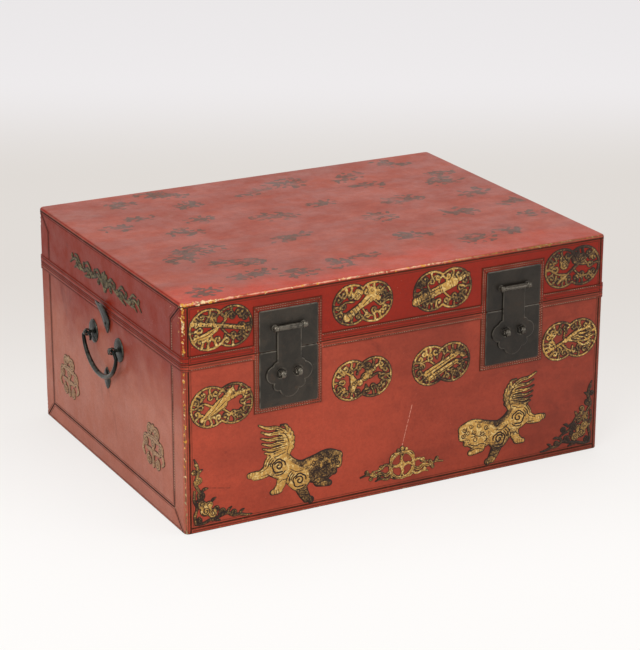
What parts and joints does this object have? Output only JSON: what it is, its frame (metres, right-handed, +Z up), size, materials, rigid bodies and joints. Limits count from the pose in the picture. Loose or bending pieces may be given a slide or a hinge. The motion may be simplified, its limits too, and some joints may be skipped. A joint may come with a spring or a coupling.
{
  "type": "leather chest",
  "caption": "Low rectangular trunk of wood covered with red lacquered leather: hinged lid, iron lock plates with lifting hasps, bail handles and raised gilt ornaments.",
  "frame": {"origin": "the middle of the underside, in the plane that the chest stands on; the case's plan is centred on it", "axes": "+Z up; +X to the right along the case as seen from the front; the front with the locks faces -Y and the hinges are on the +Y side"},
  "size_m": [0.6928, 0.525, 0.326],
  "materials": {
    "red_leather": "lacquered pigskin, worn satin, brick red faded pink on the top and side",
    "gilt_relief": "raised putty relief, gilt, rubbed dark in its hollows and edges",
    "iron": "wrought iron, dark brown-grey, satin, lightly pitted",
    "carcass_wood": "planed softwood board, brown, matt"
  },
  "bodies": {
    "base": {"base_front_board": "carcass_wood", "base_back_board": "carcass_wood", "base_left_board": "carcass_wood", "base_right_board": "carcass_wood", "base_bottom_board": "carcass_wood", "base_bottom_leather": "red_leather", "base_edge_and_back_leather": "red_leather", "base_front_leather": "red_leather", "base_left_leather": "red_leather", "base_right_leather": "red_leather", "base_rim_binding": "red_leather", "left_lower_lock_plate": "iron", "left_lock_left_eye": "iron", "left_lock_right_eye": "iron", "left_handle_front_post": "iron", "left_handle_back_post": "iron", "left_strike_plate": "iron", "left_lid_guide": "iron", "left_lower_hinge": "iron", "right_lower_lock_plate": "iron", "right_lock_left_eye": "iron", "right_lock_right_eye": "iron", "right_handle_front_post": "iron", "right_handle_back_post": "iron", "right_strike_plate": "iron", "right_lid_guide": "iron", "right_lower_hinge": "iron", "base_fan_and_flute_medallion": "gilt_relief", "base_gourd_medallion": "gilt_relief", "base_castanets_medallion": "gilt_relief", "base_fly_whisk_medallion": "gilt_relief", "left_lion": "gilt_relief", "right_lion": "gilt_relief", "brocade_ball": "gilt_relief"},
    "lid": {"lid_top_board": "carcass_wood", "lid_front_board": "carcass_wood", "lid_back_board": "carcass_wood", "lid_left_board": "carcass_wood", "lid_right_board": "carcass_wood", "lid_top_leather": "red_leather", "lid_edge_and_back_leather": "red_leather", "lid_front_leather": "red_leather", "lid_left_leather": "red_leather", "lid_right_leather": "red_leather", "lid_rim_binding": "red_leather", "left_upper_lock_plate": "iron", "left_hasp_rod": "iron", "left_upper_hinge": "iron", "right_upper_lock_plate": "iron", "right_hasp_rod": "iron", "right_upper_hinge": "iron", "lid_flute_and_sword_medallion": "gilt_relief", "lid_flower_basket_medallion": "gilt_relief", "lid_banded_tube_medallion": "gilt_relief", "lid_lotus_medallion": "gilt_relief"},
    "left_hasp": {"left_hasp": "iron"},
    "right_hasp": {"right_hasp": "iron"},
    "left_bail": {"left_bail_handle": "iron"},
    "right_bail": {"right_bail_handle": "iron"}
  },
  "joints": [
    {"name": "lid_hinge", "type": "hinge", "parent": "base", "child": "lid", "pos_m": [0, 0.2558, 0.242], "axis": [-1, 0, 0], "range_deg": [0, 105]},
    {"name": "left_hasp_hinge", "type": "hinge", "parent": "lid", "child": "left_hasp", "pos_m": [-0.176, -0.2583, 0.274], "axis": [-1, 0, 0], "range_deg": [0, 180]},
    {"name": "right_hasp_hinge", "type": "hinge", "parent": "lid", "child": "right_hasp", "pos_m": [0.176, -0.2583, 0.274], "axis": [-1, 0, 0], "range_deg": [0, 180]},
    {"name": "left_handle_hinge", "type": "hinge", "parent": "base", "child": "left_bail", "pos_m": [-0.341, 0.005, 0.196], "axis": [0, 1, 0], "range_deg": [-4, 170]},
    {"name": "right_handle_hinge", "type": "hinge", "parent": "base", "child": "right_bail", "pos_m": [0.341, 0.005, 0.196], "axis": [0, -1, 0], "range_deg": [-4, 170]}
  ]
}
